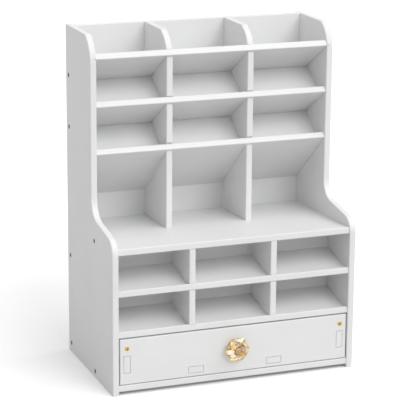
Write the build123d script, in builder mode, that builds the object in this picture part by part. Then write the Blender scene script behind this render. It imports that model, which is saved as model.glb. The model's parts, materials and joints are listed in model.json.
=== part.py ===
from build123d import *
import math
import os

os.makedirs("parts", exist_ok=True)

# Overall sizes in millimetres
width = 320
depth = 185
height = 429
board = 8
floor_board = 5
upper_setback = 83
back_inset = 7
edge_break = 0.7
left_bay = 91
right_bay = 98

# Side panel outline
crown_radius = 36
crown_sweep = math.radians(66)
step_radius = 24
shoulder_radius = 19
shoulder_slope = math.radians(9)
shoulder_drop = 7

# Lower tier, from the ground up
bottom_gap = 4.5
drawer_bay = 60.5
cell_height = 44
cell_depth = 66
floor_slope = math.radians(12)
lip_depth = 4
lip_rise = 3.5
lip_inset = 1.5
desk_inset = 2
desk_slope = math.radians(2.5)
bottom_inset = 1

# Upper tier
top_bin_drop = 28
desk_cell_height = 98
shelf_inset = 0.3
shelf_slope = math.radians(31.5)
low_shelf_slope = math.radians(39.5)
pocket_lip = 19.5
pocket_void = 26
divider_inset = 3
mid_divider_inset = 3.5

# Seats and clearances
housing_depth = 2.5
groove_depth = 2
seat_clearance = 0.1
lap_clearance = 0.3
tenon_clearance = 0.35

# Screws
screw_radius = 1.75
screw_head_radius = 3
screw_length = 26
screw_sides = 20
screw_clearance = 0.1
sink_angle = 82
back_screw_low = 12
back_screw_waist = 131
back_screw_third_drop = 129
back_screw_top_drop = 63
mid_screw_depth = 72

# Drawer
drawer_inset = 1
front_side_gap = 1.5
front_top_gap = 1.5
front_bottom_gap = 0.8
slide_gap = 0.3
guide_gap = 0.5
drawer_side_inset = 6.5
drawer_back_gap = 10
drawer_back_inset = 4
drawer_side_height = 53
side_tenon_low = 15.5
side_tenon_height = 21.5
drawer_floor_rise = 5.2
drawer_groove = 3
floor_tenon_width = 19.5
floor_tenon_spread = 103.6
front_screw_height = 46.7
front_screw_length = 20
guide_height = 18
guide_inset = 12
guide_back_gap = 8

# Knob
knob_sides = 6
knob_flat = 14.2
knob_length = 13
knob_waist = 4.5
knob_girdle = 2
knob_table = 7.2
knob_shoulder = 11.9
knob_shoulder_rise = 3.2
knob_back_shoulder = 10.1
knob_back_rise = 1.6
knob_corner_trim = 0.2
knob_rise = 1.5
knob_flange_radius = 7.5
knob_flange = 1
knob_cup_radius = 6.4
knob_cup = 1.5
spigot_radius = 4
spigot_length = 7
knob_screw_radius = 2
knob_screw_head = 4
knob_screw_head_height = 2.4
knob_screw_reach = 6

# Planes worked out from the sizes above: Y grows to the back, the knob counts in the centring
knob_reach = knob_flange + knob_cup + knob_length - drawer_inset
lower_front = (knob_reach - depth) / 2
upper_front = lower_front + upper_setback
back_face = lower_front + depth
back_inner = back_face - back_inset - board
inner_half = width / 2 - board
left_divider_x = left_bay + board / 2 - inner_half
right_divider_x = inner_half - right_bay - board / 2
divider_places = (left_divider_x, right_divider_x)
bays = (
    (-inner_half, left_divider_x - board / 2),
    (left_divider_x + board / 2, right_divider_x - board / 2),
    (right_divider_x + board / 2, inner_half),
)
bottom_top = bottom_gap + board
drawer_shelf_base = bottom_top + drawer_bay
lower_shelf_base = drawer_shelf_base + board + cell_height
desk_front = lower_front + desk_inset
desk_base = lower_shelf_base + board + cell_height
desk_top = desk_base + board / math.cos(desk_slope)
shelf_front = upper_front + shelf_inset
top_level = height - top_bin_drop
low_level = desk_top + desk_cell_height
shelf_1 = (top_level, shelf_slope)
shelf_2 = ((top_level + low_level) / 2, shelf_slope)
shelf_3 = (low_level, low_shelf_slope)
lap_y = (shelf_front + back_inner) / 2
divider_front = upper_front + divider_inset
lip_front = lower_front + lip_inset
lip_back = lip_front + lip_depth
cell_back = lower_front + cell_depth
lower_lap_y = (lip_back + cell_back) / 2
sink_half = math.radians(sink_angle / 2)


def under_shelf(shelf, y):
    """Height of a slanted shelf's underside at depth y, for a shelf given as front height and slope."""
    level, slope = shelf
    return level - (y - shelf_front) * math.tan(slope)


def over_shelf(shelf, y):
    """Height of a slanted shelf's upper face at depth y."""
    return under_shelf(shelf, y) + board / math.cos(shelf[1])


def under_desk(y):
    """Height of the desk panel's underside at depth y: the panel falls a little to the back."""
    return desk_base - (y - desk_front) * math.tan(desk_slope)


def over_desk(y):
    """Height of the desk panel's upper face at depth y."""
    return under_desk(y) + board / math.cos(desk_slope)


def over_floor(base, y):
    """Height of a lower cell floor's upper face at depth y."""
    return base + board - lip_rise + (y - lip_back) * math.tan(floor_slope)


def under_floor(base, y):
    """Height of a lower cell floor's underside at depth y."""
    return over_floor(base, y) - floor_board / math.cos(floor_slope)


def shelf_section(shelf):
    """Corners of a slanted shelf, square at the front and plumb at the back panel."""
    level, slope = shelf
    return [
        (shelf_front, level),
        (shelf_front + board * math.sin(slope), level + board * math.cos(slope)),
        (back_inner, over_shelf(shelf, back_inner)),
        (back_inner, under_shelf(shelf, back_inner)),
    ]


def floor_section(base):
    """Corners of a lower cell floor, which falls towards the front lip."""
    return [
        (lip_back, under_floor(base, lip_back)),
        (lip_back, over_floor(base, lip_back)),
        (cell_back, over_floor(base, cell_back)),
        (cell_back, under_floor(base, cell_back)),
    ]


def box_section(y0, y1, z0, z1):
    """Corners of an upright rectangle in the side view."""
    return [(y0, z0), (y0, z1), (y1, z1), (y1, z0)]


def back_board_section():
    """Corners of the upright board behind the lower cells, cut to the desk panel's fall."""
    return [
        (cell_back, drawer_shelf_base),
        (cell_back, under_desk(cell_back)),
        (cell_back + board, under_desk(cell_back + board)),
        (cell_back + board, drawer_shelf_base),
    ]


def side_outline():
    """Outline of the stepped side panel, drawn from the back foot round to the front foot."""
    crown_y = upper_front + crown_radius * (1 - math.cos(crown_sweep))
    crown_z = height - crown_radius * math.sin(crown_sweep)
    shoulder_z = desk_top - shoulder_drop
    rise_y = shoulder_radius * math.sin(shoulder_slope)
    rise_z = shoulder_radius * math.cos(shoulder_slope)
    shoulder_end = (lower_front + shoulder_radius - rise_y, shoulder_z + rise_z)
    step_y = upper_front - step_radius * (1 - math.sin(shoulder_slope))
    step_z = shoulder_end[1] + (step_y - shoulder_end[0]) * math.tan(shoulder_slope)
    step_top = step_z + step_radius * math.cos(shoulder_slope)
    Polyline((lower_front, 0), (back_face, 0), (back_face, height), (crown_y, height))
    TangentArc((upper_front, crown_z), (crown_y, height), tangent=(0, 1))
    Line((upper_front, crown_z), (upper_front, step_top))
    TangentArc((upper_front, step_top), (step_y, step_z), tangent=(0, -1))
    Line((step_y, step_z), shoulder_end)
    TangentArc((lower_front, shoulder_z), shoulder_end, tangent=(0, 1))
    Line((lower_front, shoulder_z), (lower_front, 0))


def divider_outline():
    """Outline of a tall divider: crowned like the sides, cut to sit on the lowest slanted shelf."""
    radius = crown_radius - divider_inset
    crown_y = upper_front + crown_radius - radius * math.cos(crown_sweep)
    crown_z = height - crown_radius * math.sin(crown_sweep)
    top_z = crown_z + radius * math.sin(crown_sweep)
    Polyline((crown_y, top_z), (crown_y + height - top_z, height), (back_inner, height),
             (back_inner, over_shelf(shelf_3, back_inner)),
             (divider_front, over_shelf(shelf_3, divider_front)),
             (divider_front, crown_z))
    TangentArc((divider_front, crown_z), (crown_y, top_z), tangent=(0, 1))


# Places of the side screws as depth and height
back_line = back_inner + board / 2
back_screws = [
    (back_line, back_screw_low),
    (back_line, back_screw_waist),
    (back_line, height - back_screw_third_drop),
    (back_line, height - back_screw_top_drop),
]
mid_line = lower_front + mid_screw_depth
desk_screw = (mid_line, (under_desk(mid_line) + over_desk(mid_line)) / 2)
bottom_screw = (mid_line, bottom_gap + board / 2)
side_screw_places = back_screws + [desk_screw, bottom_screw]


def screw_planes(side, places):
    """Planes on the outside of a side panel, looking outwards, one for each screw."""
    return [Plane(origin=(side * width / 2, y, z), z_dir=(side, 0, 0)) for y, z in places]


def screw_bodies(planes, length, clearance=0, mode=Mode.ADD):
    """Countersunk screws, each flush with its plane, or the holes that they fit."""
    head_height = (screw_head_radius - screw_radius) / math.tan(sink_half)
    for plane in planes:
        neck_plane = plane.offset(-head_height)
        with BuildSketch(plane) as head:
            RegularPolygon(screw_head_radius + clearance, screw_sides)
        with BuildSketch(neck_plane) as neck:
            RegularPolygon(screw_radius + clearance, screw_sides)
        loft([head.sketch.face(), neck.sketch.face()], mode=mode)
        extrude(neck.sketch.face(), amount=head_height - length - clearance, mode=mode)


# Side panels with stopped housings for the shelves, and sunk screw holes
for name, side in (("left_side_panel", -1), ("right_side_panel", 1)):
    with BuildPart() as side_panel:
        with BuildSketch(Plane.YZ.offset(side * (inner_half + board / 2))):
            with BuildLine():
                side_outline()
            make_face()
        extrude(amount=board / 2, both=True)
        rims = side_panel.faces().filter_by(Axis.X).edges()
        chamfer(rims.filter_by(lambda edge: edge.center().Z > edge_break), edge_break)
        with BuildSketch(Plane.YZ.offset(side * inner_half)):
            sections = [shelf_section(shelf) for shelf in (shelf_1, shelf_2, shelf_3)]
            for base in (drawer_shelf_base, lower_shelf_base):
                sections.append(floor_section(base))
                sections.append(box_section(lip_front, lip_back, base, base + board))
            sections.append(back_board_section())
            for section in sections:
                with BuildLine():
                    Polyline(*section, close=True)
                make_face()
            offset(amount=seat_clearance, kind=Kind.INTERSECTION)
        extrude(amount=side * (housing_depth + seat_clearance), mode=Mode.SUBTRACT)
        screw_bodies(screw_planes(side, side_screw_places), screw_length, screw_clearance, Mode.SUBTRACT)
    side_panel.part.label = name
    export_step(side_panel.part, f"parts/{name}.step")

# Back panel between the sides
with BuildPart() as back_panel:
    with BuildSketch(Plane.YZ):
        with BuildLine():
            Polyline(*box_section(back_inner, back_inner + board, bottom_gap, height), close=True)
        make_face()
    extrude(amount=inner_half, both=True)
    chamfer(back_panel.edges().filter_by(Axis.X).group_by(Axis.Z)[-1], edge_break)
    for side in (-1, 1):
        screw_bodies(screw_planes(side, back_screws), screw_length, screw_clearance, Mode.SUBTRACT)
back_panel.part.label = "back_panel"
export_step(back_panel.part, "parts/back_panel.step")

# Bottom panel, held clear of the ground
with BuildPart() as bottom_panel:
    with BuildSketch(Plane.YZ):
        with BuildLine():
            Polyline(*box_section(lower_front + bottom_inset, back_inner, bottom_gap, bottom_top),
                     close=True)
        make_face()
    extrude(amount=inner_half, both=True)
    chamfer(bottom_panel.edges().filter_by(Axis.X).group_by(Axis.Y)[0], edge_break)
    for side in (-1, 1):
        screw_bodies(screw_planes(side, [bottom_screw]), screw_length, screw_clearance, Mode.SUBTRACT)
bottom_panel.part.label = "bottom_panel"
export_step(bottom_panel.part, "parts/bottom_panel.step")

# Desk panel, the step between the tiers, grooved for the dividers that stand on it
mid_front = upper_front + mid_divider_inset
with BuildPart() as desk_panel:
    with BuildSketch(Plane.YZ):
        with BuildLine():
            Polyline((desk_front, under_desk(desk_front)), (desk_front, over_desk(desk_front)),
                     (back_inner, over_desk(back_inner)), (back_inner, under_desk(back_inner)), close=True)
        make_face()
    extrude(amount=inner_half, both=True)
    chamfer(desk_panel.edges().filter_by(Axis.X).group_by(Axis.Y)[0], edge_break)
    for x in divider_places:
        groove_front = mid_front - seat_clearance
        with BuildSketch(Plane.YZ.offset(x)):
            with BuildLine():
                Polyline((groove_front, over_desk(groove_front) - groove_depth),
                         (back_inner, over_desk(back_inner) - groove_depth),
                         (back_inner, over_desk(groove_front)),
                         (groove_front, over_desk(groove_front)), close=True)
            make_face()
        extrude(amount=board / 2 + seat_clearance, both=True, mode=Mode.SUBTRACT)
    for side in (-1, 1):
        screw_bodies(screw_planes(side, [desk_screw]), screw_length, screw_clearance, Mode.SUBTRACT)
desk_panel.part.label = "desk_panel"
export_step(desk_panel.part, "parts/desk_panel.step")

# Slanted shelves, slotted from behind to half their depth for the tall dividers
shelf_reach = back_inner - lap_y + lap_clearance
shelf_levels = (("top_slant_shelf", shelf_1), ("middle_slant_shelf", shelf_2), ("low_slant_shelf", shelf_3))
for name, shelf in shelf_levels:
    with BuildPart() as slant_shelf:
        with BuildSketch(Plane.YZ):
            with BuildLine():
                Polyline(*shelf_section(shelf), close=True)
            make_face()
        extrude(amount=inner_half + housing_depth, both=True)
        chamfer(slant_shelf.edges().filter_by(Axis.X).sort_by(Axis.Y)[:2], edge_break)
        if shelf != shelf_3:
            with BuildSketch(Plane.XY.offset(height)):
                with Locations(*[(x, back_inner - shelf_reach / 2) for x in divider_places]):
                    Rectangle(board + 2 * seat_clearance, shelf_reach)
            extrude(amount=-height, mode=Mode.SUBTRACT)
    slant_shelf.part.label = name
    export_step(slant_shelf.part, f"parts/{name}.step")

# Tall dividers, slotted from the front for the two upper slanted shelves
for name, x in (("tall_divider_left", left_divider_x), ("tall_divider_right", right_divider_x)):
    with BuildPart() as tall_divider:
        with BuildSketch(Plane.YZ.offset(x)):
            with BuildLine():
                divider_outline()
            make_face()
        extrude(amount=board / 2, both=True)
        rims = tall_divider.faces().filter_by(Axis.X).edges()
        open_rims = rims.filter_by(
            lambda edge: edge.center().Y < back_inner - board
            and edge.center().Z > over_shelf(shelf_3, edge.center().Y) + board
        )
        chamfer(open_rims, edge_break)
        with BuildSketch(Plane.YZ.offset(x)):
            for shelf in (shelf_1, shelf_2):
                start_y = shelf_front - board
                with BuildLine():
                    Polyline((start_y, under_shelf(shelf, start_y) - seat_clearance),
                             (lap_y, under_shelf(shelf, lap_y) - seat_clearance),
                             (lap_y, over_shelf(shelf, lap_y) + seat_clearance),
                             (start_y, over_shelf(shelf, start_y) + seat_clearance), close=True)
                make_face()
        extrude(amount=board, both=True, mode=Mode.SUBTRACT)
    tall_divider.part.label = name
    export_step(tall_divider.part, f"parts/{name}.step")

# Short dividers between the desk and the lowest slanted shelf
for name, x in (("desk_divider_left", left_divider_x), ("desk_divider_right", right_divider_x)):
    with BuildPart() as desk_divider:
        with BuildSketch(Plane.YZ.offset(x)):
            with BuildLine():
                Polyline((mid_front, over_desk(mid_front) - groove_depth),
                         (mid_front, under_shelf(shelf_3, mid_front)),
                         (back_inner, under_shelf(shelf_3, back_inner)),
                         (back_inner, over_desk(back_inner) - groove_depth), close=True)
            make_face()
        extrude(amount=board / 2, both=True)
        chamfer(desk_divider.edges().filter_by(Axis.Z).group_by(Axis.Y)[0], edge_break)
    desk_divider.part.label = name
    export_step(desk_divider.part, f"parts/{name}.step")

# Pocket floors: each falls from the shelf above to the shelf below, one to a bay
pocket_front = shelf_front + pocket_lip
pocket_back = back_inner - pocket_void
pocket_rows = (("top_pocket_floors", shelf_1, shelf_2), ("low_pocket_floors", shelf_2, shelf_3))
for name, above, below in pocket_rows:
    front_top = over_shelf(below, pocket_front)
    back_top = under_shelf(above, pocket_back)
    rise = (back_top - front_top) / (pocket_back - pocket_front)
    drop = floor_board * math.hypot(1, rise)
    front_y = pocket_front + drop / (rise + math.tan(below[1]))
    back_y = pocket_back + drop / (rise + math.tan(above[1]))
    with BuildPart() as pocket_floors:
        for bay_left, bay_right in bays:
            with BuildSketch(Plane.YZ.offset(bay_left)):
                with BuildLine():
                    Polyline((pocket_front, front_top), (pocket_back, back_top),
                             (back_y, under_shelf(above, back_y)),
                             (front_y, over_shelf(below, front_y)), close=True)
                make_face()
            extrude(amount=bay_right - bay_left)
    pocket_floors.part.label = name
    export_step(pocket_floors.part, f"parts/{name}.step")

# Lower cells: sloping floors behind a front lip
for name, base in (("lower_shelf_floor", lower_shelf_base), ("drawer_shelf_floor", drawer_shelf_base)):
    with BuildPart() as shelf_floor:
        with BuildSketch(Plane.YZ):
            with BuildLine():
                Polyline(*floor_section(base), close=True)
            make_face()
        extrude(amount=inner_half + housing_depth, both=True)
        if base == lower_shelf_base:
            slot_reach = cell_back - lower_lap_y + lap_clearance
            with BuildSketch(Plane.XY.offset(desk_base)):
                with Locations(*[(x, cell_back - slot_reach / 2) for x in divider_places]):
                    Rectangle(board + 2 * seat_clearance, slot_reach)
            extrude(amount=drawer_shelf_base - desk_base, mode=Mode.SUBTRACT)
    shelf_floor.part.label = name
    export_step(shelf_floor.part, f"parts/{name}.step")

for name, base in (("lower_shelf_lip", lower_shelf_base), ("drawer_shelf_lip", drawer_shelf_base)):
    with BuildPart() as shelf_lip:
        with BuildSketch(Plane.YZ):
            with BuildLine():
                Polyline(*box_section(lip_front, lip_back, base, base + board), close=True)
            make_face()
        extrude(amount=inner_half + housing_depth, both=True)
        chamfer(shelf_lip.edges().filter_by(Axis.X).group_by(Axis.Y)[0], edge_break)
    shelf_lip.part.label = name
    export_step(shelf_lip.part, f"parts/{name}.step")

# Upright board behind the lower cells
with BuildPart() as lower_back_board:
    with BuildSketch(Plane.YZ):
        with BuildLine():
            Polyline(*back_board_section(), close=True)
        make_face()
    extrude(amount=inner_half + housing_depth, both=True)
lower_back_board.part.label = "lower_back_board"
export_step(lower_back_board.part, "parts/lower_back_board.step")

# Lower dividers: they stand on the drawer shelf and are slotted for the shelf between the cells
lower_divider_front = lip_front + seat_clearance
for name, x in (("lower_divider_left", left_divider_x), ("lower_divider_right", right_divider_x)):
    with BuildPart() as lower_divider:
        heel_y = lip_back + seat_clearance
        with BuildSketch(Plane.YZ.offset(x)):
            with BuildLine():
                Polyline((lower_divider_front, drawer_shelf_base + board),
                         (heel_y, drawer_shelf_base + board),
                         (heel_y, over_floor(drawer_shelf_base, heel_y)),
                         (cell_back, over_floor(drawer_shelf_base, cell_back)),
                         (cell_back, under_desk(cell_back)),
                         (lower_divider_front, under_desk(lower_divider_front)), close=True)
            make_face()
        extrude(amount=board / 2, both=True)
        chamfer(lower_divider.edges().filter_by(Axis.Z).group_by(Axis.Y)[0], edge_break)
        with BuildSketch(Plane.YZ.offset(x)):
            for section in (
                floor_section(lower_shelf_base)[:2]
                + [(lower_lap_y, over_floor(lower_shelf_base, lower_lap_y)),
                   (lower_lap_y, under_floor(lower_shelf_base, lower_lap_y))],
                box_section(lip_front, lip_back, lower_shelf_base, lower_shelf_base + board),
            ):
                with BuildLine():
                    Polyline(*section, close=True)
                make_face()
            offset(amount=seat_clearance, kind=Kind.INTERSECTION)
        extrude(amount=board, both=True, mode=Mode.SUBTRACT)
    lower_divider.part.label = name
    export_step(lower_divider.part, f"parts/{name}.step")

# Screws through the side panels
for name, side in (("left_side_screws", -1), ("right_side_screws", 1)):
    with BuildPart() as side_screws:
        screw_bodies(screw_planes(side, side_screw_places), screw_length)
    side_screws.part.label = name
    export_step(side_screws.part, f"parts/{name}.step")

# Drawer planes
drawer_face = lower_front + drawer_inset
drawer_front_back = drawer_face + board
drawer_end = back_inner - drawer_back_gap
drawer_back_rear = drawer_end - drawer_back_inset
front_half = inner_half - front_side_gap
front_low = bottom_top + front_bottom_gap
front_high = drawer_shelf_base - front_top_gap
side_outer = inner_half - drawer_side_inset
side_inner = side_outer - board
side_middle = side_outer - board / 2
drawer_base = bottom_top + slide_gap
drawer_side_top = drawer_base + drawer_side_height
drawer_floor_z = drawer_base + drawer_floor_rise
tenon_z = drawer_base + side_tenon_low
front_screw_z = drawer_base + front_screw_height
knob_z = (front_low + front_high) / 2 + knob_rise
front_screw_planes = [
    Plane(origin=(side * side_middle, drawer_face, front_screw_z), z_dir=(0, -1, 0)) for side in (-1, 1)
]

# Drawer front with through mortises for the tenons
with BuildPart() as drawer_front:
    with BuildSketch(Plane.XZ.offset(-drawer_face)):
        with Locations((0, (front_low + front_high) / 2)):
            Rectangle(2 * front_half, front_high - front_low)
    extrude(amount=-board)
    chamfer(drawer_front.faces().sort_by(Axis.Y)[0].edges(), edge_break)
    with BuildSketch(Plane.XZ.offset(-drawer_face)):
        with Locations((0, tenon_z + side_tenon_height / 2)):
            with GridLocations(2 * side_middle, 0, 2, 1):
                Rectangle(board + 2 * tenon_clearance, side_tenon_height + 2 * tenon_clearance)
        with Locations((0, drawer_floor_z + board / 2)):
            with GridLocations(floor_tenon_spread, 0, 2, 1):
                Rectangle(floor_tenon_width + 2 * tenon_clearance, board + 2 * tenon_clearance)
    extrude(amount=-board, mode=Mode.SUBTRACT)
    screw_bodies(front_screw_planes, front_screw_length, screw_clearance, Mode.SUBTRACT)
    with Locations(Plane(origin=(0, drawer_face, knob_z), z_dir=(0, -1, 0))):
        Hole(knob_screw_radius + screw_clearance, board)
drawer_front.part.label = "drawer_front"
export_step(drawer_front.part, "parts/drawer_front.step")

# Drawer sides, tenoned into the front and grooved for the floor
for name, side in (("drawer_side_left", -1), ("drawer_side_right", 1)):
    with BuildPart() as drawer_side:
        with BuildSketch(Plane.YZ.offset(side * side_middle)):
            with BuildLine():
                Polyline(*box_section(drawer_front_back, drawer_end, drawer_base, drawer_side_top),
                         close=True)
            make_face()
            with BuildLine():
                Polyline(*box_section(drawer_face, drawer_front_back, tenon_z, tenon_z + side_tenon_height),
                         close=True)
            make_face()
        extrude(amount=board / 2, both=True)
        with BuildSketch(Plane.YZ.offset(side * side_inner)):
            with BuildLine():
                Polyline(*box_section(drawer_front_back, drawer_end, drawer_floor_z - seat_clearance,
                                      drawer_floor_z + board + seat_clearance), close=True)
            make_face()
            with BuildLine():
                Polyline(*box_section(drawer_back_rear - board - seat_clearance,
                                      drawer_back_rear + seat_clearance,
                                      drawer_floor_z, drawer_side_top), close=True)
            make_face()
        extrude(amount=side * (drawer_groove + seat_clearance), mode=Mode.SUBTRACT)
        screw_bodies(front_screw_planes, front_screw_length, screw_clearance, Mode.SUBTRACT)
    drawer_side.part.label = name
    export_step(drawer_side.part, f"parts/{name}.step")

# Drawer floor with two tenons that show in the front
with BuildPart() as drawer_floor:
    with BuildSketch(Plane.XY.offset(drawer_floor_z)):
        with Locations((0, (drawer_front_back + drawer_end) / 2)):
            Rectangle(2 * (side_inner + drawer_groove), drawer_end - drawer_front_back)
        with Locations((0, drawer_face + board / 2)):
            with GridLocations(floor_tenon_spread, 0, 2, 1):
                Rectangle(floor_tenon_width, board)
    extrude(amount=board)
drawer_floor.part.label = "drawer_floor"
export_step(drawer_floor.part, "parts/drawer_floor.step")

# Drawer back, standing on the floor in grooves of the sides
with BuildPart() as drawer_back:
    with BuildSketch(Plane.YZ):
        with BuildLine():
            Polyline(*box_section(drawer_back_rear - board, drawer_back_rear, drawer_floor_z + board,
                                  drawer_side_top), close=True)
        make_face()
    extrude(amount=side_inner + drawer_groove, both=True)
drawer_back.part.label = "drawer_back"
export_step(drawer_back.part, "parts/drawer_back.step")

# Screws through the drawer front into its sides
with BuildPart() as drawer_front_screws:
    screw_bodies(front_screw_planes, front_screw_length)
drawer_front_screws.part.label = "drawer_front_screws"
export_step(drawer_front_screws.part, "parts/drawer_front_screws.step")

# Guide strips that keep the drawer straight
guide_inner = side_outer + guide_gap
guide_front = lower_front + guide_inset
guide_back = back_inner - guide_back_gap
for name, side in (("drawer_guide_left", -1), ("drawer_guide_right", 1)):
    with BuildPart() as drawer_guide:
        with BuildSketch(Plane.XY.offset(bottom_top)):
            with Locations((side * (guide_inner + inner_half) / 2, (guide_front + guide_back) / 2)):
                Rectangle(inner_half - guide_inner, guide_back - guide_front)
        extrude(amount=guide_height)
        chamfer(drawer_guide.edges().filter_by(Axis.Z), edge_break)
    drawer_guide.part.label = name
    export_step(drawer_guide.part, f"parts/{name}.step")

# Knob: a turned brass base, a cut crystal on its spigot, and a screw from inside the drawer
seat_y = knob_flange + knob_cup
knob_foot = (0, drawer_face, knob_z)
knob_axis = Axis(knob_foot, (0, -1, 0))
turning_plane = Plane(origin=knob_foot, x_dir=(1, 0, 0), z_dir=(0, 0, -1))
with BuildPart() as knob_base:
    with BuildSketch(turning_plane):
        with BuildLine():
            Polyline((0, 0), (knob_flange_radius, 0), (knob_flange_radius, knob_flange),
                     (knob_cup_radius, seat_y), (spigot_radius, seat_y),
                     (spigot_radius, seat_y + spigot_length), (0, seat_y + spigot_length), close=True)
        make_face()
    revolve(axis=knob_axis)
    with Locations(Plane(origin=knob_foot, z_dir=(0, 1, 0))):
        Hole(knob_screw_radius + screw_clearance, knob_screw_reach + lap_clearance)
knob_base.part.label = "knob_base"
export_step(knob_base.part, "parts/knob_base.step")


def facet_plane(turn, rim, end):
    """Cutting plane of one facet, through two points given as distance from the axis and along it."""
    along = Vector(0, -1, 0)
    radial = Vector(math.cos(turn), 0, math.sin(turn))
    outward = radial * (end[1] - rim[1]) - along * (end[0] - rim[0])
    if outward.dot(radial) < 0:
        outward = outward * -1
    return Plane(origin=Vector(*knob_foot) + radial * rim[0] + along * rim[1], z_dir=outward)


knob_corner = knob_flat / math.cos(math.pi / knob_sides)
knob_between = knob_flat / math.cos(math.pi / knob_sides / 2)
girdle = seat_y + knob_waist
girdle_low = girdle - knob_girdle / 2
girdle_high = girdle + knob_girdle / 2
shoulder_y = girdle_high + knob_shoulder_rise
back_shoulder_y = seat_y + knob_back_rise
knob_tip = seat_y + knob_length
facet_rows = (
    (0.5, (knob_flat, girdle_low), (knob_flat, girdle_high)),
    (0.5, (knob_flat, girdle_high), (knob_shoulder, shoulder_y)),
    (0.5, (knob_shoulder, shoulder_y), (knob_table, knob_tip)),
    (0.0, (knob_corner - knob_corner_trim, girdle), (knob_table, knob_tip)),
    (0.25, (knob_between, girdle_high), (knob_shoulder, shoulder_y)),
    (0.75, (knob_between, girdle_high), (knob_shoulder, shoulder_y)),
    (0.5, (knob_flat, girdle_low), (knob_cup_radius, seat_y)),
    (0.0, (knob_corner - knob_corner_trim, girdle), (knob_cup_radius, seat_y)),
    (0.25, (knob_between, girdle_low), (knob_back_shoulder, back_shoulder_y)),
    (0.75, (knob_between, girdle_low), (knob_back_shoulder, back_shoulder_y)),
)
with BuildPart() as knob_crystal:
    with BuildSketch(turning_plane):
        with BuildLine():
            Polyline((0, seat_y), (knob_corner, seat_y), (knob_corner, knob_tip), (0, knob_tip), close=True)
        make_face()
    revolve(axis=knob_axis)
    for phase, rim, end in facet_rows:
        for facet in range(knob_sides):
            turn = 2 * math.pi * (facet + phase) / knob_sides
            split(bisect_by=facet_plane(turn, rim, end), keep=Keep.BOTTOM)
    with Locations(Plane(origin=(0, drawer_face - seat_y, knob_z), z_dir=(0, 1, 0))):
        Hole(spigot_radius + seat_clearance, spigot_length + lap_clearance)
knob_crystal.part.label = "knob_crystal"
export_step(knob_crystal.part, "parts/knob_crystal.step")

with BuildPart() as knob_screw:
    with BuildSketch(Plane(origin=(0, drawer_front_back, knob_z), z_dir=(0, 1, 0))):
        Circle(knob_screw_head)
    extrude(amount=knob_screw_head_height)
    with BuildSketch(Plane(origin=(0, drawer_front_back, knob_z), z_dir=(0, -1, 0))):
        Circle(knob_screw_radius)
    extrude(amount=board + knob_screw_reach)
knob_screw.part.label = "knob_screw"
export_step(knob_screw.part, "parts/knob_screw.step")
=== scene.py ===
import json
import math

import bmesh
import bpy
from mathutils import Matrix, Vector


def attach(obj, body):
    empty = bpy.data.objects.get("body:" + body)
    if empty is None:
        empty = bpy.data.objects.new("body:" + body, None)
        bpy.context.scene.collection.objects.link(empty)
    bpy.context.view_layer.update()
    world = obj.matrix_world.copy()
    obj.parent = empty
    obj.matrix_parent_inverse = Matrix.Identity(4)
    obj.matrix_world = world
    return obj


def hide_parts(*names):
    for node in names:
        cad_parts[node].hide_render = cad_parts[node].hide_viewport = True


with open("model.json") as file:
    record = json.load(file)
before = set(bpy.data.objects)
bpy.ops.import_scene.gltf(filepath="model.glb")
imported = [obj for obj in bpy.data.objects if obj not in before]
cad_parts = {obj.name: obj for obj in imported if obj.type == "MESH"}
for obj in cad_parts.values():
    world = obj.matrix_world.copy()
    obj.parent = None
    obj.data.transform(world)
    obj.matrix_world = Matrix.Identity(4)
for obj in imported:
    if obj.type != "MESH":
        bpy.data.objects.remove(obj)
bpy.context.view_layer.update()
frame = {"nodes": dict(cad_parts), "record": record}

# Sizes in metres that the part's own drawing gives
half_width = 0.160
lower_front = -0.08525
drawer_face = -0.08425
screw_head_radius = 0.0030
screw_radius = 0.00175
side_screw_length = 0.026
front_screw_length = 0.020
back_screw_y = 0.08875
mid_screw_y = lower_front + 0.072
side_screw_places = [
    (back_screw_y, 0.012),
    (back_screw_y, 0.131),
    (back_screw_y, 0.300),
    (back_screw_y, 0.366),
    (mid_screw_y, 0.17795),
    (mid_screw_y, 0.0085),
]
front_screw_x = 0.1415
front_screw_z = 0.0595

# Details of the screws, which the drawing leaves out
rim_drop = 0.00012
crown_radius = screw_head_radius * 0.93
mouth_arm = screw_head_radius * 0.62
mouth_half = screw_head_radius * 0.14
pit_arm = screw_head_radius * 0.46
pit_half = screw_head_radius * 0.09
pit_depth = screw_head_radius * 0.45
head_cone = math.radians(41)
taper_radius = screw_radius * 0.45
taper_end = 0.8
tip_radius = screw_radius * 0.06
circle_steps = 40
first_turn = 0.35
turn_step = 0.9
front_turns = (0.3, 1.1)


def new_material(name):
    """An empty node material with its Principled shader, node tree and links."""
    material = bpy.data.materials.new(name)
    material.use_nodes = True
    tree = material.node_tree
    return material, tree.nodes, tree.links, tree.nodes["Principled BSDF"]


def noise(nodes, links, scale, detail, roughness=0.5, over="Object"):
    """Noise that is fixed to the object, over its coordinates or over the directions of its faces."""
    place = nodes.new("ShaderNodeTexCoord")
    texture = nodes.new("ShaderNodeTexNoise")
    texture.inputs["Scale"].default_value = scale
    texture.inputs["Detail"].default_value = detail
    texture.inputs["Roughness"].default_value = roughness
    links.new(place.outputs[over], texture.inputs["Vector"])
    return texture.outputs["Fac"]


def facet_noise(nodes, links, scale):
    """Noise over the directions of the faces, so that each facet takes a value of its own."""
    return noise(nodes, links, scale, detail=0.0, over="Normal")


def ramp(nodes, links, source, stops):
    """A colour ramp over a value, with stops given as place and colour."""
    node = nodes.new("ShaderNodeValToRGB")
    for _ in stops[2:]:
        node.color_ramp.elements.new(1.0)
    for element, (place, colour) in zip(node.color_ramp.elements, stops):
        element.position = place
        element.color = (*colour, 1.0)
    links.new(source, node.inputs["Fac"])
    return node.outputs["Color"]


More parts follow.
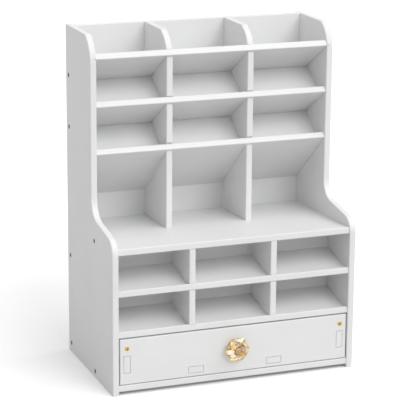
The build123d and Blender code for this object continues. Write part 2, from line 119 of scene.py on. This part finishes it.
def spread(nodes, links, source, low, high):
    """Maps a value from 0 to 1 onto the range from low to high."""
    node = nodes.new("ShaderNodeMapRange")
    node.inputs["To Min"].default_value = low
    node.inputs["To Max"].default_value = high
    links.new(source, node.inputs["Value"])
    return node.outputs["Result"]


def combine(nodes, links, operation, first, second):
    """One step of arithmetic on a value and on another value or a plain number."""
    node = nodes.new("ShaderNodeMath")
    node.operation = operation
    links.new(first, node.inputs[0])
    if isinstance(second, float):
        node.inputs[1].default_value = second
    else:
        links.new(second, node.inputs[1])
    return node.outputs[0]


def bump(nodes, links, height, strength, distance):
    """A bump node over a height."""
    node = nodes.new("ShaderNodeBump")
    node.inputs["Strength"].default_value = strength
    node.inputs["Distance"].default_value = distance
    links.new(height, node.inputs["Height"])
    return node


def white_coating():
    """Satin white coating: slightly uneven tone and gloss, a faint skin texture and softened edges."""
    material, nodes, links, shader = new_material("white_board")
    tone = noise(nodes, links, scale=14.0, detail=4.0)
    tones = [(0.30, (0.736, 0.738, 0.740)), (0.70, (0.766, 0.767, 0.767))]
    links.new(ramp(nodes, links, tone, tones), shader.inputs["Base Color"])
    gloss = noise(nodes, links, scale=90.0, detail=4.0, roughness=0.6)
    links.new(spread(nodes, links, gloss, low=0.38, high=0.55), shader.inputs["Roughness"])
    shader.inputs["Specular IOR Level"].default_value = 0.20
    bevel = nodes.new("ShaderNodeBevel")
    bevel.samples = 4
    bevel.inputs["Radius"].default_value = 0.0009
    grain = noise(nodes, links, scale=900.0, detail=2.0)
    texture = bump(nodes, links, grain, strength=0.06, distance=0.0002)
    links.new(bevel.outputs["Normal"], texture.inputs["Normal"])
    links.new(texture.outputs["Normal"], shader.inputs["Normal"])
    return material


def metal(name, dark, light, rough_low, rough_high, scale):
    """Bare or plated metal with small changes of tone and polish."""
    material, nodes, links, shader = new_material(name)
    tone = noise(nodes, links, scale, detail=5.0, roughness=0.6)
    links.new(ramp(nodes, links, tone, [(0.30, dark), (0.70, light)]), shader.inputs["Base Color"])
    polish = noise(nodes, links, scale * 4.0, detail=3.0)
    links.new(spread(nodes, links, polish, rough_low, rough_high), shader.inputs["Roughness"])
    shader.inputs["Metallic"].default_value = 1.0
    scratches = noise(nodes, links, scale * 9.0, detail=2.0)
    texture = bump(nodes, links, scratches, strength=0.08, distance=0.0001)
    links.new(texture.outputs["Normal"], shader.inputs["Normal"])
    return material


def mirrored(nodes, links):
    """1 on some of the slanting facets, which flash like mirrors, and 0 on the others and on the table."""
    table_limit = -0.9
    chosen_above = 0.52
    place = nodes.new("ShaderNodeTexCoord")
    parts = nodes.new("ShaderNodeSeparateXYZ")
    links.new(place.outputs["Normal"], parts.inputs["Vector"])
    slanting = combine(nodes, links, "GREATER_THAN", parts.outputs["Y"], table_limit)
    chosen = combine(nodes, links, "GREATER_THAN", facet_noise(nodes, links, scale=14.0), chosen_above)
    return combine(nodes, links, "MULTIPLY", slanting, chosen)


def fine_cells(nodes, links, scale):
    """Small cells fixed to the object, each with a random colour of its own."""
    place = nodes.new("ShaderNodeTexCoord")
    cells = nodes.new("ShaderNodeTexVoronoi")
    cells.inputs["Scale"].default_value = scale
    links.new(place.outputs["Object"], cells.inputs["Vector"])
    return cells.outputs["Color"]


def leaning(nodes, links, cells, tilt):
    """Normals that lean to a side of their own in each cell, as the fine facets of a cut stone do."""
    middle = (0.5, 0.5, 0.5)
    lean = nodes.new("ShaderNodeVectorMath")
    lean.operation = "SUBTRACT"
    lean.inputs[1].default_value = middle
    links.new(cells, lean.inputs[0])
    surface = nodes.new("ShaderNodeNewGeometry")
    total = nodes.new("ShaderNodeVectorMath")
    total.operation = "MULTIPLY_ADD"
    total.inputs[1].default_value = (tilt, tilt, tilt)
    links.new(lean.outputs["Vector"], total.inputs[0])
    links.new(surface.outputs["Normal"], total.inputs[2])
    unit = nodes.new("ShaderNodeVectorMath")
    unit.operation = "NORMALIZE"
    links.new(total.outputs["Vector"], unit.inputs[0])
    return unit.outputs["Vector"]


def amber_glass():
    """Cut crystal: an amber tint with painted reflection, which goes from deep gold to near white by facet
    and by fine cell; part clear and part milky.
    """
    material, nodes, links, shader = new_material("amber_crystal")
    cells = fine_cells(nodes, links, scale=340.0)
    by_cell = spread(nodes, links, cells, low=0.0, high=0.5)
    by_facet = spread(nodes, links, facet_noise(nodes, links, scale=9.0), low=0.0, high=0.5)
    # Painted reflection: the tone changes from facet to facet and from cell to cell, as reflections in a
    # cut stone do, over the crystal's own amber tint
    tint_and_painted_reflection = combine(nodes, links, "ADD", by_cell, by_facet)
    tones = [
        (0.38, (0.74, 0.43, 0.08)),
        (0.48, (0.97, 0.73, 0.32)),
        (0.56, (1.0, 0.90, 0.66)),
        (0.66, (1.0, 0.98, 0.92)),
    ]
    links.new(ramp(nodes, links, tint_and_painted_reflection, tones), shader.inputs["Base Color"])
    polish = noise(nodes, links, scale=400.0, detail=2.0)
    links.new(spread(nodes, links, polish, low=0.0, high=0.05), shader.inputs["Roughness"])
    clear = facet_noise(nodes, links, scale=3.0)
    links.new(spread(nodes, links, clear, low=0.65, high=0.95), shader.inputs["Transmission Weight"])
    shader.inputs["IOR"].default_value = 1.62
    links.new(leaning(nodes, links, cells, tilt=0.25), shader.inputs["Normal"])
    flash = mirrored(nodes, links)
    links.new(spread(nodes, links, flash, low=0.0, high=0.75), shader.inputs["Metallic"])
    path = nodes.new("ShaderNodeLightPath")
    shade = spread(nodes, links, path.outputs["Is Shadow Ray"], low=1.0, high=0.40)
    links.new(shade, shader.inputs["Alpha"])
    return material


slot_materials = {
    "white_board": white_coating(),
    "dark_screw": metal("dark_screw", dark=(0.014, 0.014, 0.015), light=(0.048, 0.048, 0.051),
                        rough_low=0.34, rough_high=0.50, scale=400.0),
    "brass": metal("brass", dark=(0.48, 0.29, 0.085), light=(0.68, 0.45, 0.17),
                   rough_low=0.16, rough_high=0.30, scale=260.0),
    "amber_crystal": amber_glass(),
}

# Materials on the carried-over nodes, by the record's own slots
for row in frame["record"]["subparts"]:
    node = frame["nodes"][row["node"]]
    node.data.materials.clear()
    node.data.materials.append(slot_materials[row["material_slot"]])


def ring(mesh, points):
    """Vertices and edges of a closed loop."""
    vertices = [mesh.verts.new(point) for point in points]
    edges = [mesh.edges.new((vertices[i - 1], vertices[i])) for i in range(len(vertices))]
    return vertices, edges


def bridge(mesh, first, second):
    """Faces between two closed loops with the same number of vertices."""
    for i in range(len(first)):
        mesh.faces.new((first[i - 1], first[i], second[i], second[i - 1]))


def cross_points(arm, half, z):
    """Corners of a plus-shaped recess, with arms that reach out to arm and are 2 * half wide."""
    points = []
    for quarter in range(4):
        turn = Matrix.Rotation(quarter * math.pi / 2, 3, "Z")
        for x, y in ((half, half), (arm, half), (arm, -half)):
            points.append(turn @ Vector((x, y, z)))
    return sorted(points, key=lambda point: math.atan2(point.y, point.x))


def circle_points(radius, z):
    """Points of a level circle."""
    turns = [2 * math.pi * i / circle_steps for i in range(circle_steps)]
    return [(radius * math.cos(turn), radius * math.sin(turn), z) for turn in turns]


def countersunk_screw(mesh, place, length):
    """One countersunk screw with a crowned rim, a cross recess and a tapering shank."""
    start = len(mesh.verts)
    top, top_edges = ring(mesh, circle_points(crown_radius, 0.0))
    mouth, mouth_edges = ring(mesh, cross_points(mouth_arm, mouth_half, 0.0))
    bmesh.ops.triangle_fill(mesh, edges=top_edges + mouth_edges, use_beauty=True)
    pit, pit_edges = ring(mesh, cross_points(pit_arm, pit_half, -pit_depth))
    bridge(mesh, mouth, pit)
    bmesh.ops.triangle_fill(mesh, edges=pit_edges, use_beauty=True)
    previous = top
    neck = -(screw_head_radius - screw_radius) / math.tan(head_cone)
    for radius, z in (
        (screw_head_radius, -rim_drop),
        (screw_radius, neck),
        (taper_radius, -length * taper_end),
        (tip_radius, -length),
    ):
        loop, _ = ring(mesh, circle_points(radius, z))
        bridge(mesh, loop, previous)
        previous = loop
    mesh.faces.new(previous)
    mesh.verts.ensure_lookup_table()
    bmesh.ops.transform(mesh, matrix=place, verts=mesh.verts[start:])


def screw_set(name, places, length, body, node, slot):
    """A set of detailed screws that stands for one node."""
    mesh = bmesh.new()
    for place in places:
        countersunk_screw(mesh, place, length)
    bmesh.ops.recalc_face_normals(mesh, faces=mesh.faces)
    data = bpy.data.meshes.new(name)
    mesh.to_mesh(data)
    mesh.free()
    piece = bpy.data.objects.new(name, data)
    bpy.context.collection.objects.link(piece)
    data.materials.append(slot_materials[slot])
    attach(piece, body)
    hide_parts(node)


def facing(direction, place, turn):
    """A place whose Z axis looks in a direction, turned about that axis."""
    look = Vector(direction).to_track_quat("Z", "Y").to_matrix().to_4x4()
    return Matrix.Translation(place) @ look @ Matrix.Rotation(turn, 4, "Z")


# Detailed screws, each turned to its own angle as driven ones are
for name, side in (("left", -1), ("right", 1)):
    places = []
    for index, (y, z) in enumerate(side_screw_places):
        places.append(facing((side, 0, 0), (side * half_width, y, z), first_turn + turn_step * index))
    plain_screws = f"{name}_side_screws"
    screw_set(f"{name}_screw_heads", places, side_screw_length, "cabinet", plain_screws, "dark_screw")
front_places = []
for side, turn in zip((-1, 1), front_turns):
    front_places.append(facing((0, -1, 0), (side * front_screw_x, drawer_face, front_screw_z), turn))
screw_set("front_screw_heads", front_places, front_screw_length, "drawer", "drawer_front_screws", "brass")


def mixed_by_ray(nodes, links):
    """1 for camera, glossy and transmission rays and 0 for the others."""
    path = nodes.new("ShaderNodeLightPath")
    rays = path.outputs
    direct = combine(nodes, links, "MAXIMUM", rays["Is Camera Ray"], rays["Is Glossy Ray"])
    return combine(nodes, links, "MAXIMUM", direct, rays["Is Transmission Ray"])


# Floor: pale, with a little glow for what looks at it, so that it reads as white and keeps the shadow
floor_half = 30.0
floor_glow = 0.06
floor_mesh = bpy.data.meshes.new("floor")
corners = [(x * floor_half, y * floor_half, 0) for x, y in ((-1, -1), (1, -1), (1, 1), (-1, 1))]
floor_mesh.from_pydata(corners, [], [(0, 1, 2, 3)])
floor = bpy.data.objects.new("floor", floor_mesh)
bpy.context.collection.objects.link(floor)
floor_paint, nodes, links, shader = new_material("floor_paint")
tones = [(0.0, (0.50, 0.50, 0.50)), (1.0, (0.98, 0.98, 0.98))]
links.new(ramp(nodes, links, mixed_by_ray(nodes, links), tones), shader.inputs["Base Color"])
shader.inputs["Roughness"].default_value = 0.9
shader.inputs["Specular IOR Level"].default_value = 0.1
shader.inputs["Emission Color"].default_value = (1.0, 1.0, 1.0, 1.0)
glow = combine(nodes, links, "MULTIPLY", mixed_by_ray(nodes, links), floor_glow)
links.new(glow, shader.inputs["Emission Strength"])
floor_mesh.materials.append(floor_paint)

# Surroundings: soft fill for the object, plain white for what looks at them
fill_strength = 0.745
world = bpy.data.worlds.new("studio")
bpy.context.scene.world = world
world.use_nodes = True
nodes = world.node_tree.nodes
links = world.node_tree.links
backdrop = nodes["Background"]
backdrop.inputs["Color"].default_value = (1.0, 1.0, 1.0, 1.0)
seen = spread(nodes, links, mixed_by_ray(nodes, links), low=fill_strength, high=1.0)
links.new(seen, backdrop.inputs["Strength"])

# Broad soft lamps by strength, width in degrees and direction, from the front and from high on the right
for name, energy, angle, towards in (
    ("key", 1.25, 36, (0.24, -0.78, 0.68)),
    ("side", 0.80, 45, (0.78, -0.28, 0.90)),
):
    lamp = bpy.data.lights.new(name, "SUN")
    lamp.energy = energy
    lamp.angle = math.radians(angle)
    holder = bpy.data.objects.new(name, lamp)
    holder.rotation_euler = Vector(towards).to_track_quat("Z", "Y").to_euler()
    bpy.context.collection.objects.link(holder)

# Camera at the photograph's viewpoint
camera_place = (-0.8087, -2.10005, 0.8162)
yaw = math.radians(20.925)
pitch = math.radians(-15.261)
roll = math.radians(0.485)
forward = Vector((math.sin(yaw) * math.cos(pitch), math.cos(yaw) * math.cos(pitch), math.sin(pitch)))
level_right = Vector((math.cos(yaw), -math.sin(yaw), 0.0))
level_up = level_right.cross(forward)
right = math.cos(roll) * level_right + math.sin(roll) * level_up
up = math.cos(roll) * level_up - math.sin(roll) * level_right
lens = bpy.data.cameras.new("camera")
lens.sensor_width = 36.0
lens.lens = 160.25
camera = bpy.data.objects.new("camera", lens)
bpy.context.collection.objects.link(camera)
turned = Matrix((right, up, -forward)).transposed().to_4x4()
camera.matrix_world = Matrix.Translation(camera_place) @ turned
bpy.context.scene.camera = camera
bpy.context.scene.view_settings.view_transform = "Standard"
